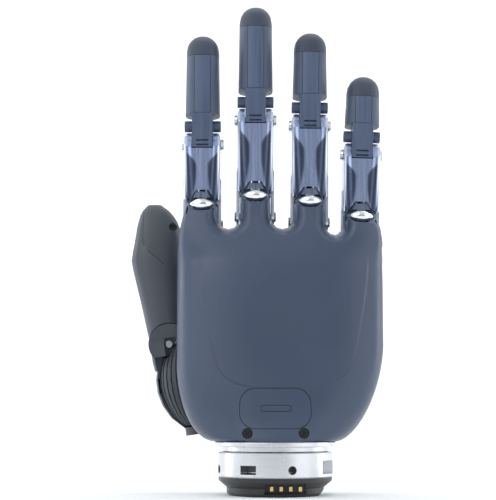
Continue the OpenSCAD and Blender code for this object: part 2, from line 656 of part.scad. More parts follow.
module thumb_frame() {
    color("darkgray") translate(flex_at) difference() {
        union() {
            bar_y(4.6, tongue_half);
            rotate([0, stem_lean, 0]) {
                block([-3.5, -tongue_half, 0], [3.5, tongue_half, 14]);
                block([-5, -5, 13], [5, 5, 34]);
            }
        }
        bar_y(pin_r + run, 20);
    }
}
module thumb_cavity() {
    translate(flex_at) {
        bar_y(flex_r + gap, 20);
        rotate([0, stem_lean, 0]) {
            block([-3.7, -tongue_half - 0.2, 0], [3.7, tongue_half + 0.2, 14]);
            block([-5.15, -5.15, 12.85], [5.15, 5.15, 34.15]);
        }
    }
}
module pad_outline(grow) {
    translate([0, 60, 0]) rotate([90, 0, 0]) linear_extrude(80)
        translate([-grow, palm_z - grow]) polygon([[-59.2, 120], [-59.2, 89], [-57.6, 85.9], [-55, 83.8],
            [-52.4, 81.5], [-49.7, 79], [-30, 79], [-30, 120]]);
}
thumb_screw_at = [-45.6, 0, palm_z + 96.2];
module thumb_shell() {
    color([0.3, 0.33, 0.37]) difference() {
        thumb_digit();
        thumb_cavity();
        pad_outline(seam);
    }
}
module thumb_pad() {
    color([0.26, 0.28, 0.32]) difference() {
        intersection() {
            thumb_digit();
            pad_outline(0);
        }
        translate(thumb_screw_at + [0, thumb_at[1] - 8, 0]) bar_y(1.8, 6);
    }
}
module thumb_screw() {
    color("black") translate(thumb_screw_at + [0, thumb_at[1] - 3.3, 0]) difference() {
        bar_y(1.65, 1.2);
        rotate([90, 0, 0]) cylinder(r = 0.9, h = 2, $fn = 6);
    }
}

// ---- Fingers ----
link_y = finger_back - 0.2;
module link_outline(f) {
    top = reach(f) + 5.2;
    polygon([[-link_w / 2, 0], [-link_w / 2, 15], [-link_half + 0.1, 21], [-link_half, top - 9],
        [-link_half, top - 2.4], [-link_half + 0.7, top - 0.7], [-link_half + 2, top],
        [link_half - 2, top], [link_half - 0.7, top - 0.7], [link_half, top - 2.4], [link_half, top - 9],
        [link_half - 0.1, 21], [link_w / 2, 15], [link_w / 2, 0]]);
}
module proximal_link(f) {
    top = reach(f);
    color([0.5, 0.57, 0.7]) at_finger(f) difference() {
        union() {
            intersection() {
                linear_extrude(top + 8) rounded(link_w, 2 * link_y + 0.4, 1.9);
                translate([0, 20, 0]) rotate([90, 0, 0]) linear_extrude(40) link_outline(f);
                rotate([90, 0, 90]) linear_extrude(30, center = true) union() {
                    polygon([[-finger_back, 0], [link_y, 0], [link_y, top - 6], [5.1, top + 1.5],
                        [-5.1, top + 1.5], [-finger_back, top - 2]]);
                    translate([0, top]) circle(5.2);
                }
            }
            for (x = [-1, 1]) translate([x * (ear_in + ear_out) / 2, 0, 0]) {
                bar_x(ear_r, (ear_out - ear_in) / 2);
                block([(ear_in - ear_out) / 2, -ear_r, 0], [(ear_out - ear_in) / 2, ear_r, 20]);
            }
        }
        rotate([0, 90, 0]) rotate_extrude() polygon(housing_profile(gap));
        difference() {
            bar_x(norm([finger_back, column_rise]) + gap, 10);
            block([-11, -ear_r, -20], [11, ear_r, 20]);
        }
        bar_x(pin_r + run, 20);
        translate([0, 0, top]) bar_x(pin_r + 0.01, 20);
        block([-slot_half - 1.2, 1.4 - finger_back + 1, -1], [slot_half + 1.2, 20, top]);
        block([-fork_half, -20, top - 2.9], [fork_half, 20, top + 10]);
        translate([0, 0, top]) bar_x(7, fork_half);
        block([-fork_half, 2, top - 6.2], [fork_half, 20, top]);
        for (x = [-1, 1]) translate([x * 5.1, -finger_back - 1.3, 10]) rotate([1.2, x * 3.2, 0])
            cylinder(r = 2.5, h = top - 12);
    }
}
module drive_shaft(f) {
    color("silver") at_finger(f) difference() {
        stub(1);
        rotate([0, 90, 0]) translate([0, 0, head_out - 0.6]) cylinder(r = 1, h = 3, $fn = 6);
    }
}
module hinge_pin(f) {
    color("silver") at_finger(f) translate([0, 0, reach(f)]) {
        bar_x(pin_r, link_half + 0.2);
        for (x = [-1, 1]) rotate([0, 90 * x, 0])
            translate([0, 0, link_half + 0.15]) cylinder(r1 = 2.65, r2 = 2.2, h = 1.3);
    }
}
// The bar from the pin before the finger joint down to the pin behind the knuckle. It is a little
// shorter and steeper than the line between the pins, which halves the opened pivot's error.
module coupler_bar(f) {
    angle = atan2(2 * crank, reach(f)) + 1;
    length = norm([2 * crank, reach(f)]) - 0.6;
    color("silver") at_finger(f) translate([0, crank, reach(f)]) rotate([-angle, 0, 0]) difference() {
        union() {
            bar_x(2.2, bar_half);
            translate([0, 0, -length]) bar_x(open_eye, bar_half);
            block([-bar_half, -1.4, -length], [bar_half, 1.4, 0]);
        }
        translate([0, 0, -length]) bar_x(anchor_r + open_run, 5);
        bar_x(1 + run, 5);
    }
}
// The outer form of a distal link above its notch
function tip_rows(f) = let(top = reach(f) + tip_at(f), r = tip_w / 2)
    concat([[reach(f) + distal_notch, 7.65, 8.1], [reach(f) + distal_notch + 4, 7.6, 8.3],
        [mix(reach(f) + distal_notch + 4, top - r, 0.5), 7.35, 8.5]],
        [for (a = [0, 20, 38, 54, 68, 80]) [top - r + r * sin(a), r * cos(a), 8.2 * mix(1, cos(a), 0.9)]]);
module tip_form(f) {
    loft([for (s = tip_rows(f)) [s[0], -s[1], s[1], -s[2] * finger_back / 8.2, s[2]]], 2.7, 24);
}
nail_h = 10;
core_half = 4.2;
band_half = 3.5;
band_y = -5;
module distal_core(f, grow) {
    top = reach(f) + tip_at(f);
    block([-core_half - grow, band_y - grow, reach(f) + distal_notch - 4],
        [core_half + grow, 4 + grow, top - nail_h - 2 + grow]);
    block([-band_half - grow, -10, reach(f) + distal_notch - 4],
        [band_half + grow, band_y + 1, top - nail_h]);
}
module distal_frame(f) {
    top = reach(f);
    color([0.33, 0.39, 0.5]) at_finger(f) difference() {
        union() {
            // tongue: a plate over the joint and a rounded body round the pin
            block([-tongue_w / 2, -finger_back + 0.1, top - 2.4], [tongue_w / 2, band_y, top + distal_notch - 0.1]);
            intersection() {
                translate([0, 0, top]) bar_x(6.6, tongue_w / 2);
                block([-10, band_y - eps, 0], [10, 20, 100]);
            }
            block([-tongue_w / 2, band_y - eps, top], [tongue_w / 2, 5.6, top + distal_notch - 0.1]);
            for (x = [-1, 1]) translate([x * 6.2, 0, top + lug_z]) bar_x(2.5, 1.8);
            block([-core_half, band_y, top + distal_notch - 1], [core_half, 4, top + distal_notch + 1]);
            intersection() {
                tip_form(f);
                distal_core(f, 0);
            }
        }
        translate([0, 0, top]) bar_x(pin_r + run, 20);
        translate([0, 0, top + lug_z]) bar_x(1.05, 20);
        // slot for the coupler bar, open towards the knuckle and the palm
        block([-slot_half, -3.3, top - 8], [slot_half, 20, top - 2.2 + 0.1]);
        block([-slot_half, crank - 2.7, top - 8], [slot_half, 20, top + 7.2]);
        translate([0, crank, top]) bar_x(1.02, 4.6);
        for (z = [0.65, 2.65]) block([-2.65, -10, top - 2.4 + z], [2.65, -finger_back + 1.3, top - 2.4 + z + 0.7]);
    }
    color("silver") at_finger(f) translate([0, crank, top]) bar_x(1, 4.3);
}
module finger_pad(f) {
    top = reach(f) + tip_at(f);
    color([0.28, 0.33, 0.42]) at_finger(f) difference() {
        intersection() {
            tip_form(f);
            block([-20, -20, 0], [20, 20, top - nail_h]);
        }
        distal_core(f, seam);
    }
}
module fingertip(f) {
    top = reach(f) + tip_at(f);
    color([0.2, 0.24, 0.31]) at_finger(f) difference() {
        intersection() {
            tip_form(f);
            block([-20, -20, top - nail_h + seam], [20, 20, top + 10]);
        }
    }
}

wrist_ring();
wrist_plug();
wrist_contacts();
wrist_bearing();
wrist_flange();
dorsal_shell();
palmar_shell();
palm_frame();
knuckle_housings();
knuckle_barrels();
knuckle_pins();
finger_motors();
finger_gearboxes();
control_board();
service_cover();
cover_screws();
power_button();
thumb_bellows();
thumb_bracket();
thumb_axle();
thumb_rotation_motor();
thumb_base();
thumb_hinge_pin();
thumb_frame();
thumb_shell();
thumb_pad();
thumb_screw();
proximal_link(0);  // index_proximal_link
drive_shaft(0);  // index_drive_shaft
hinge_pin(0);  // index_hinge_pin
coupler_bar(0);  // index_coupler_bar
distal_frame(0);  // index_distal_frame
finger_pad(0);  // index_finger_pad
fingertip(0);  // index_fingertip
proximal_link(1);  // middle_proximal_link
drive_shaft(1);  // middle_drive_shaft
hinge_pin(1);  // middle_hinge_pin
coupler_bar(1);  // middle_coupler_bar
distal_frame(1);  // middle_distal_frame
finger_pad(1);  // middle_finger_pad
fingertip(1);  // middle_fingertip
proximal_link(2);  // ring_proximal_link
drive_shaft(2);  // ring_drive_shaft
hinge_pin(2);  // ring_hinge_pin
coupler_bar(2);  // ring_coupler_bar
distal_frame(2);  // ring_distal_frame
finger_pad(2);  // ring_finger_pad
fingertip(2);  // ring_fingertip
proximal_link(3);  // little_proximal_link
drive_shaft(3);  // little_drive_shaft
hinge_pin(3);  // little_hinge_pin
coupler_bar(3);  // little_coupler_bar
distal_frame(3);  // little_distal_frame
finger_pad(3);  // little_finger_pad
fingertip(3);  // little_fingertip
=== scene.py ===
import json
import math

import bmesh
import bpy
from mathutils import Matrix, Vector


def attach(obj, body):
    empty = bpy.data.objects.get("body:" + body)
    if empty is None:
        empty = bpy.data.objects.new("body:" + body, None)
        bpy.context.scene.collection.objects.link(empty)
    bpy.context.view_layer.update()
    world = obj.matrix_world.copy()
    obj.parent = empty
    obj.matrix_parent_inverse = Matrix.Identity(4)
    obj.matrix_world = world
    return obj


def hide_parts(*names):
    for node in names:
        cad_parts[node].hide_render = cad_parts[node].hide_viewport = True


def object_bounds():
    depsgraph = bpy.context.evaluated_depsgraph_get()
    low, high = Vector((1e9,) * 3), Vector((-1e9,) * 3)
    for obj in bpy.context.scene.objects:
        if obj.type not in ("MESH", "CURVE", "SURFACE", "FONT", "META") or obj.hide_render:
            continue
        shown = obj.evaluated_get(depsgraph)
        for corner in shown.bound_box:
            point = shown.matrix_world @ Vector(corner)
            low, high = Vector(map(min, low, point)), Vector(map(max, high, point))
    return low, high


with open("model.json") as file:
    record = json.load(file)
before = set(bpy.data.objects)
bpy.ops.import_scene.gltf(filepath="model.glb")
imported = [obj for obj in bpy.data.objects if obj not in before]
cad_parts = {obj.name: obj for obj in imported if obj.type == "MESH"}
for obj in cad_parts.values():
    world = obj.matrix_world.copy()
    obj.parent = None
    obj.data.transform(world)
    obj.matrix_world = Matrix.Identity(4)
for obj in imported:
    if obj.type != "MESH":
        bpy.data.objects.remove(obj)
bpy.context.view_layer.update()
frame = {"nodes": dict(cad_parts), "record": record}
nodes = frame["nodes"]
slots = {p["node"]: p["material_slot"] for p in frame["record"]["subparts"]}
body_of = {n: b for b, ns in frame["record"]["behaviour"]["bodies"].items() for n in ns}
MM = 0.001
FINGERS = ("index", "middle", "ring", "little")


# ---- Camera, light and stage ----
def make_camera():
    data = bpy.data.cameras.new("studio_camera")
    camera = bpy.data.objects.new("studio_camera", data)
    bpy.context.scene.collection.objects.link(camera)
    data.sensor_fit = "HORIZONTAL"
    data.sensor_width = 36
    focal = 1262 / 496
    data.lens = 36 * focal
    data.shift_y = 0.1
    distance, eye, centre_z = 0.55, 0.024, 0.0986
    pitch = math.atan((centre_z - eye) / distance) - math.atan(data.shift_y / focal)
    camera.location = (-0.01175, -distance, eye)
    camera.rotation_euler = (math.pi / 2 + pitch, 0, 0)
    data.clip_start, data.clip_end = 0.01, 20
    bpy.context.scene.camera = camera


def make_lamp(name, place, target, size, power, colour=(1, 1, 1)):
    data = bpy.data.lights.new(name, "AREA")
    data.shape = "RECTANGLE"
    data.size, data.size_y = size
    data.energy = power
    data.color = colour
    lamp = bpy.data.objects.new(name, data)
    lamp.location = place
    lamp.rotation_euler = (Vector(target) - Vector(place)).to_track_quat("-Z", "Y").to_euler()
    bpy.context.scene.collection.objects.link(lamp)


def make_world():
    """Soft studio light: bright above and at the sides, dimmer behind the camera."""
    world = bpy.data.worlds.new("studio")
    bpy.context.scene.world = world
    world.use_nodes = True
    tree = world.node_tree
    background = tree.nodes["Background"]
    background.inputs["Color"].default_value = (0.94, 0.97, 1, 1)
    split = tree.nodes.new("ShaderNodeSeparateXYZ")
    tree.links.new(tree.nodes.new("ShaderNodeTexCoord").outputs["Generated"], split.inputs[0])
    side = tree.nodes.new("ShaderNodeMath")
    side.operation = "ABSOLUTE"
    tree.links.new(split.outputs["X"], side.inputs[0])
    either = tree.nodes.new("ShaderNodeMath")
    either.operation = "MAXIMUM"
    for k, (value, start, end) in enumerate(((side.outputs[0], 0.4, 0.9), (split.outputs["Z"], 0.1, 0.8))):
        ramp = tree.nodes.new("ShaderNodeMapRange")
        ramp.interpolation_type = "SMOOTHSTEP"
        ramp.inputs["From Min"].default_value = start
        ramp.inputs["From Max"].default_value = end
        tree.links.new(value, ramp.inputs["Value"])
        tree.links.new(ramp.outputs[0], either.inputs[k])
    level = tree.nodes.new("ShaderNodeMapRange")
    level.inputs["To Min"].default_value = 0.38
    level.inputs["To Max"].default_value = 0.8
    tree.links.new(either.outputs[0], level.inputs["Value"])
    tree.links.new(level.outputs[0], background.inputs["Strength"])


def make_sweep():
    """A pale floor that curves up into the backdrop, so that no horizon shows."""
    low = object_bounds()[0].z - 0.0002
    start, radius = 0.4, 0.6
    bend = math.pi / 2 * radius
    mesh = bpy.data.meshes.new("sweep")
    bm = bmesh.new()
    bmesh.ops.create_grid(bm, x_segments=1, y_segments=160, size=2.4)
    for v in bm.verts:
        over = v.co.y - start
        if over > 0:
            turn = min(over, bend) / radius
            v.co.y = start + radius * math.sin(turn)
            v.co.z = radius * (1 - math.cos(turn)) + max(0, over - bend)
    bmesh.ops.translate(bm, vec=(0, 0, low), verts=bm.verts)
    for face in bm.faces:
        face.smooth = True
    bm.to_mesh(mesh)
    bm.free()
    sweep = bpy.data.objects.new("sweep", mesh)
    bpy.context.scene.collection.objects.link(sweep)
    material = bpy.data.materials.new("pale_paper")
    material.use_nodes = True
    shader = material.node_tree.nodes["Principled BSDF"]
    shader.inputs["Base Color"].default_value = (0.86, 0.87, 0.88, 1)
    shader.inputs["Roughness"].default_value = 0.9
    shader.inputs["Specular IOR Level"].default_value = 0.1
    mesh.materials.append(material)


make_camera()
make_world()
make_sweep()
make_lamp("key", (-0.7, -0.85, 0.75), (0, 0, 0.11), (1.1, 1.1), 5.5)
make_lamp("fill", (0.9, -0.7, 0.4), (0, 0, 0.1), (0.9, 1.1), 2.2)
make_lamp("left_edge", (-0.75, 0.2, 0.25), (-0.02, 0, 0.11), (0.3, 1.0), 2.4, (0.9, 0.95, 1))
make_lamp("right_edge", (0.75, 0.2, 0.25), (0.02, 0, 0.11), (0.3, 1.0), 2.4, (0.9, 0.95, 1))
make_lamp("backdrop", (0, 0.2, 1.15), (0, 0.95, 0.35), (1.6, 0.4), 7)


# ---- Materials ----
GRAIN_DEPTH = 0.00002
BRUSHED_ALONG = (1, 1, 0.04)


class Nodes:
    """A material's node tree, with short calls for the nodes that these finishes share."""

    def __init__(self, name, colour, metal, rough):
        self.material = bpy.data.materials.new(name)
        self.material.use_nodes = True
        self.tree = self.material.node_tree
        self.shader = self.tree.nodes["Principled BSDF"]
        self.shader.inputs["Metallic"].default_value = metal
        self.shader.inputs["Roughness"].default_value = rough
        self.shader.inputs["Base Color"].default_value = (*colour, 1)
        self.place = self.tree.nodes.new("ShaderNodeTexCoord").outputs["Object"]
        self.colour, self.rough = colour, rough

    def add(self, kind, **values):
        node = self.tree.nodes.new(kind)
        for key, value in values.items():
            if key in node.inputs:
                node.inputs[key].default_value = value
            else:
                setattr(node, key, value)
        return node

    def link(self, a, b):
        self.tree.links.new(a, b)

    def noise(self, scale, detail=3, stretch=(1, 1, 1)):
        mapping = self.add("ShaderNodeMapping")
        mapping.inputs["Scale"].default_value = stretch
        self.link(self.place, mapping.inputs["Vector"])
        node = self.add("ShaderNodeTexNoise", Scale=scale, Detail=detail)
        self.link(mapping.outputs[0], node.inputs["Vector"])
        return node.outputs["Fac"]

    def ramp(self, value, low, high, a=0.35, b=0.65):
        node = self.add("ShaderNodeMapRange")
        for key, v in (("From Min", a), ("From Max", b), ("To Min", low), ("To Max", high)):
            node.inputs[key].default_value = v
        self.link(value, node.inputs["Value"])
        return node.outputs[0]

    def smooth_step(self, value, start, end, low, high):
        node = self.add("ShaderNodeMapRange", interpolation_type="SMOOTHSTEP")
        for key, v in (("From Min", start), ("From Max", end), ("To Min", low), ("To Max", high)):
            node.inputs[key].default_value = v
        self.link(value, node.inputs["Value"])
        return node.outputs[0]

    def tint(self, value, dark, light):
        mix = self.add("ShaderNodeMix", data_type="RGBA")
        self.link(value, mix.inputs["Factor"])
        mix.inputs[6].default_value = (*(c * dark for c in self.colour), 1)
        mix.inputs[7].default_value = (*(c * light for c in self.colour), 1)
        self.link(mix.outputs[2], self.shader.inputs["Base Color"])
        return mix

    def roughness(self, value, low, high):
        self.link(self.ramp(value, low, high), self.shader.inputs["Roughness"])

    def bump(self, value, depth, after=None):
        node = self.add("ShaderNodeBump", Distance=depth, Strength=1.0)
        self.link(value, node.inputs["Height"])
        if after:
            self.link(after, node.inputs["Normal"])
        self.link(node.outputs[0], self.shader.inputs["Normal"])
        return node.outputs[0]


def moulded_plastic(name, colour, rough):
    n = Nodes(name, colour, 0, rough)
    n.tint(n.ramp(n.noise(28, 4), 0, 1), 0.94, 1.06)
    n.roughness(n.noise(60, 5), rough - 0.06, rough + 0.08)
    n.bump(n.noise(2600, 2), GRAIN_DEPTH)
    n.shader.inputs["Coat Weight"].default_value = 0.15
    n.shader.inputs["Coat Roughness"].default_value = 0.3
    return n.material


def palm_plastic(name, colour, rough):
    """Satin plastic with the crease round the raised panel, from the panel's signed distance."""
    n = Nodes(name, colour, 0, rough)
    n.tint(n.ramp(n.noise(22, 5), 0, 1), 0.93, 1.07)
    n.roughness(n.noise(50, 5), rough - 0.05, rough + 0.08)
    edge = n.add("ShaderNodeAttribute", attribute_name="panel").outputs["Fac"]
    height = n.add("ShaderNodeSeparateXYZ")
    n.link(n.place, height.inputs[0])
    crease = n.add("ShaderNodeMath", operation="MULTIPLY")
    n.link(n.smooth_step(edge, -0.0006, 0.0006, 0, 1), crease.inputs[0])
    n.link(n.smooth_step(height.outputs["Z"], 0.1, 0.08, 0, 1), crease.inputs[1])
    raised = n.bump(crease.outputs[0], 0.0007)
    n.bump(n.noise(2400, 2), GRAIN_DEPTH, raised)
    n.shader.inputs["Coat Weight"].default_value = 0.2
    n.shader.inputs["Coat Roughness"].default_value = 0.25
    return n.material


def brushed_metal(name, colour, rough, metal=1.0):
    n = Nodes(name, colour, metal, rough)
    streaks = n.noise(900, 4, BRUSHED_ALONG)
    n.tint(n.ramp(streaks, 0, 1), 0.9, 1.08)
    n.roughness(streaks, rough - 0.08, rough + 0.1)
    n.bump(streaks, 0.000006)
    return n.material


def turned_metal(name, colour, rough):
    """Metal turned on a lathe: fine rings across the turning axis, and a little wear."""
    n = Nodes(name, colour, 1, rough)
    rings = n.noise(1500, 3, (0.02, 0.02, 1))
    marks = n.noise(45, 6)
    n.tint(n.ramp(marks, 0, 1), 0.92, 1.05)
    n.roughness(marks, rough - 0.07, rough + 0.1)
    n.bump(rings, 0.00001)
    return n.material


def soft_rubber(name, colour, rough):
    n = Nodes(name, colour, 0, rough)
    n.tint(n.ramp(n.noise(40, 5), 0, 1), 0.9, 1.08)
    n.roughness(n.noise(90, 4), rough - 0.08, rough + 0.06)
    n.bump(n.noise(1800, 3), 0.00004)
    n.shader.inputs["Sheen Weight"].default_value = 0.15
    return n.material


def circuit_board(name):
    n = Nodes(name, (0.02, 0.12, 0.05), 0, 0.35)
    tracks = n.add("ShaderNodeTexBrick", Scale=180)
    tracks.inputs["Color1"].default_value = (0.015, 0.10, 0.04, 1)
    tracks.inputs["Color2"].default_value = (0.03, 0.17, 0.07, 1)
    tracks.inputs["Mortar"].default_value = (0.10, 0.26, 0.12, 1)
    n.link(n.place, tracks.inputs["Vector"])
    n.link(tracks.outputs["Color"], n.shader.inputs["Base Color"])
    return n.material


def painted_reflection_link_metal(name):
    """Polished link with painted light: a painted pale reflection band that waists between painted dark
    flute shade, and painted highlights on the outer edges.

    across and along are the piece's own coordinates in millimetres and shares of its reach.
    """
    n = Nodes(name, (0.2, 0.25, 0.4), 0.85, 0.24)
    across = n.add("ShaderNodeMath", operation="ABSOLUTE")
    n.link(n.add("ShaderNodeAttribute", attribute_name="across").outputs["Fac"], across.inputs[0])
    along = n.add("ShaderNodeAttribute", attribute_name="along").outputs["Fac"]
    flare = n.smooth_step(along, 0.7, 0.98, 1.9, 8.5)
    foot = n.smooth_step(along, 0.6, 0.25, 0.3, 1.9)
    half = n.add("ShaderNodeMath", operation="ADD")
    n.link(flare, half.inputs[0])
    n.link(foot, half.inputs[1])
    beside = n.add("ShaderNodeMath", operation="SUBTRACT")
    n.link(across.outputs[0], beside.inputs[0])
    n.link(half.outputs[0], beside.inputs[1])
    # painted shade: the flutes beside the band are painted dark
    painted_flute_shade = n.smooth_step(beside.outputs[0], -0.3, 1.0, 0, 1)
    # painted highlight: the outer edges of the link are painted pale
    edge = n.smooth_step(across.outputs[0], 6.3, 7.3, 0, 1)
    painted_reflection_band = n.add("ShaderNodeMix", data_type="RGBA")
    n.link(painted_flute_shade, painted_reflection_band.inputs["Factor"])
    # pale colour: painted reflection on the flat band; dark colour: painted shade in the flutes
    painted_reflection_band.inputs[6].default_value = (0.34, 0.41, 0.62, 1)
    painted_reflection_band.inputs[7].default_value = (0.07, 0.09, 0.15, 1)
    # lays the painted edge highlight colour over the painted band and flute shade
    rim = n.add("ShaderNodeMix", data_type="RGBA")
    n.link(edge, rim.inputs["Factor"])
    n.link(painted_reflection_band.outputs[2], rim.inputs[6])
    rim.inputs[7].default_value = (0.62, 0.68, 0.8, 1)
    n.link(rim.outputs[2], n.shader.inputs["Base Color"])
    streaks = n.noise(900, 4, BRUSHED_ALONG)
    n.roughness(streaks, 0.17, 0.34)
    n.bump(streaks, 0.000004)
    return n.material


MATERIALS = {
    "aluminium_ring": turned_metal("turned_aluminium", (0.72, 0.73, 0.75), 0.24),
    "black_plastic": moulded_plastic("black_plug_plastic", (0.018, 0.019, 0.021), 0.38),
    "contacts": turned_metal("gold_contacts", (0.83, 0.62, 0.26), 0.25),
    "bearing": moulded_plastic("bearing_plastic", (0.06, 0.062, 0.065), 0.5),
    "palm_plastic": palm_plastic("slate_palm_plastic", (0.04, 0.06, 0.108), 0.38),
    "frame_aluminium": brushed_metal("frame_aluminium", (0.32, 0.33, 0.35), 0.38),
    "housing": brushed_metal("knuckle_housing_metal", (0.16, 0.2, 0.28), 0.34, metal=0.8),
    "chrome": turned_metal("polished_barrel", (0.86, 0.88, 0.9), 0.12),
    "steel": turned_metal("ground_steel", (0.55, 0.57, 0.6), 0.22),
    "motor": brushed_metal("motor_case_steel", (0.45, 0.45, 0.47), 0.3),
    "gearbox": brushed_metal("gear_case_metal", (0.12, 0.12, 0.13), 0.42),
    "board": circuit_board("board_lacquer"),
    "screw": turned_metal("blackened_screw", (0.05, 0.05, 0.055), 0.35),
    "bellows_rubber": soft_rubber("bellows_rubber", (0.028, 0.034, 0.045), 0.55),
    "thumb_plastic": moulded_plastic("thumb_plastic", (0.052, 0.06, 0.078), 0.4),
    "thumb_rubber": soft_rubber("thumb_pad_rubber", (0.05, 0.058, 0.075), 0.5),
    # polished links: painted reflection band, painted flute shade and painted edge highlights in the colour
    "polished_link": painted_reflection_link_metal("polished_blue_steel_painted_reflections"),
    "distal_plastic": brushed_metal("blue_grey_metal", (0.075, 0.105, 0.175), 0.42, metal=0.2),
    "finger_rubber": soft_rubber("finger_pad_rubber", (0.055, 0.078, 0.13), 0.5),
    # the fingertip is darker than the pad: painted shade for its bevelled top, which reflects a darker
    # surround
    "tip_rubber": soft_rubber("fingertip_rubber", (0.034, 0.046, 0.076), 0.55),
}


# ---- Dressed pieces ----
CREASE_ANGLE = 32  # degrees: sharper edges than this stay as edges


def merged_copy(node):
    """The node's mesh with its loose triangles merged, as a bmesh."""
    bm = bmesh.new()
    bm.from_mesh(nodes[node].data)
    bmesh.ops.remove_doubles(bm, verts=bm.verts, dist=0.000002)
    bmesh.ops.dissolve_degenerate(bm, dist=0.000001, edges=bm.edges)
    return bm


def soften(bm, angle):
    for face in bm.faces:
        face.smooth = True
    for edge in bm.edges:
        edge.smooth = len(edge.link_faces) == 2 and edge.calc_face_angle(0) < math.radians(angle)


def piece_from(bm, node):
    """Makes a piece of a finished bmesh that rides with the node's body and takes its slot."""
    name = node + "_finish"
    mesh = bpy.data.meshes.new(name)
    bm.to_mesh(mesh)
    bm.free()
    mesh.materials.append(MATERIALS[slots[node]])
    piece = bpy.data.objects.new(name, mesh)
    bpy.context.scene.collection.objects.link(piece)
    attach(piece, body_of[node])
    return piece


def dress(node, width):
    """A copy of the node with flat faces joined, edges rounded and curved faces smooth."""
    bm = merged_copy(node)
    bmesh.ops.dissolve_limit(bm, angle_limit=math.radians(0.6), verts=bm.verts, edges=bm.edges)
    soften(bm, CREASE_ANGLE)
    piece = piece_from(bm, node)
    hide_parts(node)
    if width:
        bevel = piece.modifiers.new("rounded_edges", "BEVEL")
        bevel.width = width * MM
        bevel.segments = 2
        bevel.limit_method = "ANGLE"
        bevel.angle_limit = math.radians(CREASE_ANGLE)
        bevel.use_clamp_overlap = True
        bevel.harden_normals = True
    return piece


joints = {j["name"]: j for j in frame["record"]["behaviour"]["joints"]}


def mark_link(finger):
    """Stores each vertex's place across the lower link, in millimetres, and its share of the reach."""
    foot, head = (Vector(joints[f"{finger}_{name}"]["pos_m"]) for name in ("knuckle", "finger_joint"))
    up = (head - foot).normalized()
    sideways = Vector((0, 1, 0)).cross(up)
    mesh = bpy.data.objects[f"{finger}_proximal_link_finish"].data
    across = mesh.attributes.new("across", "FLOAT", "POINT")
    along = mesh.attributes.new("along", "FLOAT", "POINT")
    for k, v in enumerate(mesh.vertices):
        across.data[k].value = (v.co - foot).dot(sideways) / MM
        along.data[k].value = (v.co - foot).dot(up) / (head - foot).length


EDGE_WIDTH = {
    "wrist_ring": 0.25, "wrist_plug": 0.5, "wrist_flange": 0.3, "wrist_bearing": 0, "wrist_contacts": 0.1,
    "palm_frame": 0.3, "knuckle_housings": 0.3, "knuckle_barrels": 0, "knuckle_pins": 0.12,
    "finger_motors": 0.4, "finger_gearboxes": 0.4, "control_board": 0.15, "cover_screws": 0.12,
    "thumb_bracket": 0.3, "thumb_axle": 0.2, "thumb_rotation_motor": 0.4, "thumb_hinge_pin": 0.2,
    "thumb_frame": 0.3, "thumb_screw": 0.12, "thumb_bellows": 0, "thumb_base": 0, "thumb_shell": 0,
    "thumb_pad": 0,
}
for finger in FINGERS:
    EDGE_WIDTH.update({
        f"{finger}_proximal_link": 0.3, f"{finger}_drive_shaft": 0.12, f"{finger}_hinge_pin": 0.12,
        f"{finger}_coupler_bar": 0.2, f"{finger}_distal_frame": 0.2, f"{finger}_finger_pad": 0,
        f"{finger}_fingertip": 0,
    })
for node, width in EDGE_WIDTH.items():
    dress(node, width)
for finger in FINGERS:
    mark_link(finger)

# ---- Palm: the shell's outer sheet is cut finer and laid on the true curved surface ----
PALM_Z, RING_R, PALM_LEFT, PALM_RIGHT, PALM_DEPTH = 15.0, 25.0, 42.7, 47.1, 18.0
SEAM, ROUND = 0.06, 6.0
CUT_PITCH = 1.6  # millimetres between the cuts that make the sheet fine
KNUCKLES = ((-31.8, 109.4), (-8.6, 113.2), (15.05, 110.8), (37.0, 104.1))
WEB_Z = (107.6, 107.6, 105.0)
BACK = ((0, 24), (10, 21.5), (25, 19.6), (45, 18.4), (75, 17.2), (90, 14.4), (98, 12.6), (106, 11.8))
FACE = ((0, 24), (15, 21.8), (35, 19), (75, 18), (85, 16.5), (93, 14), (106, 11))
ROUNDNESS = ((0, 2), (25, 2.8), (77, 2.9), (97, 6), (110, 6))
TOP = (9.7, -8.3)
HALF_W = (7.6, 9.3)


def clip(v, low, high):
    return min(max(v, low), high)


def smooth_table(table):
    """A smooth curve through the table's points, flat-sided where the table turns back."""
    xs, ys = [p[0] for p in table], [p[1] for p in table]
    steps = [(ys[k + 1] - ys[k]) / (xs[k + 1] - xs[k]) for k in range(len(xs) - 1)]
    slopes = [steps[0]] + [
        0 if a * b <= 0 else 2 * a * b / (a + b) for a, b in zip(steps, steps[1:])] + [steps[-1]]

    def at(x):
        x = clip(x, xs[0], xs[-1])
        k = max(0, min(len(xs) - 2, sum(x >= v for v in xs) - 1))
        w = xs[k + 1] - xs[k]
        t = (x - xs[k]) / w
        return ((1 + 2 * t) * (1 - t) ** 2 * ys[k] + t * (1 - t) ** 2 * w * slopes[k]
                + t * t * (3 - 2 * t) * ys[k + 1] + t * t * (t - 1) * w * slopes[k + 1])
    return at


back_depth, face_depth, roundness = smooth_table(BACK), smooth_table(FACE), smooth_table(ROUNDNESS)


def heel(z, rise, power):
    t = clip((z - PALM_Z) / rise, 0, 1)
    return (1 - (1 - t) ** power) ** (1 / power)


def sides(z):
    over = max(0, z - PALM_Z - 79)
    t = heel(z, 34, 2)
    left = -((RING_R + 1) * (1 - t) + PALM_LEFT * t) + 3.7 * (over / 22.6) ** 2
    t = heel(z, 42, 1.7)
    right = (RING_R + 1.3) * (1 - t) + PALM_RIGHT * t - 3.4 * (over / 17.8) ** 3.5
    return left, right


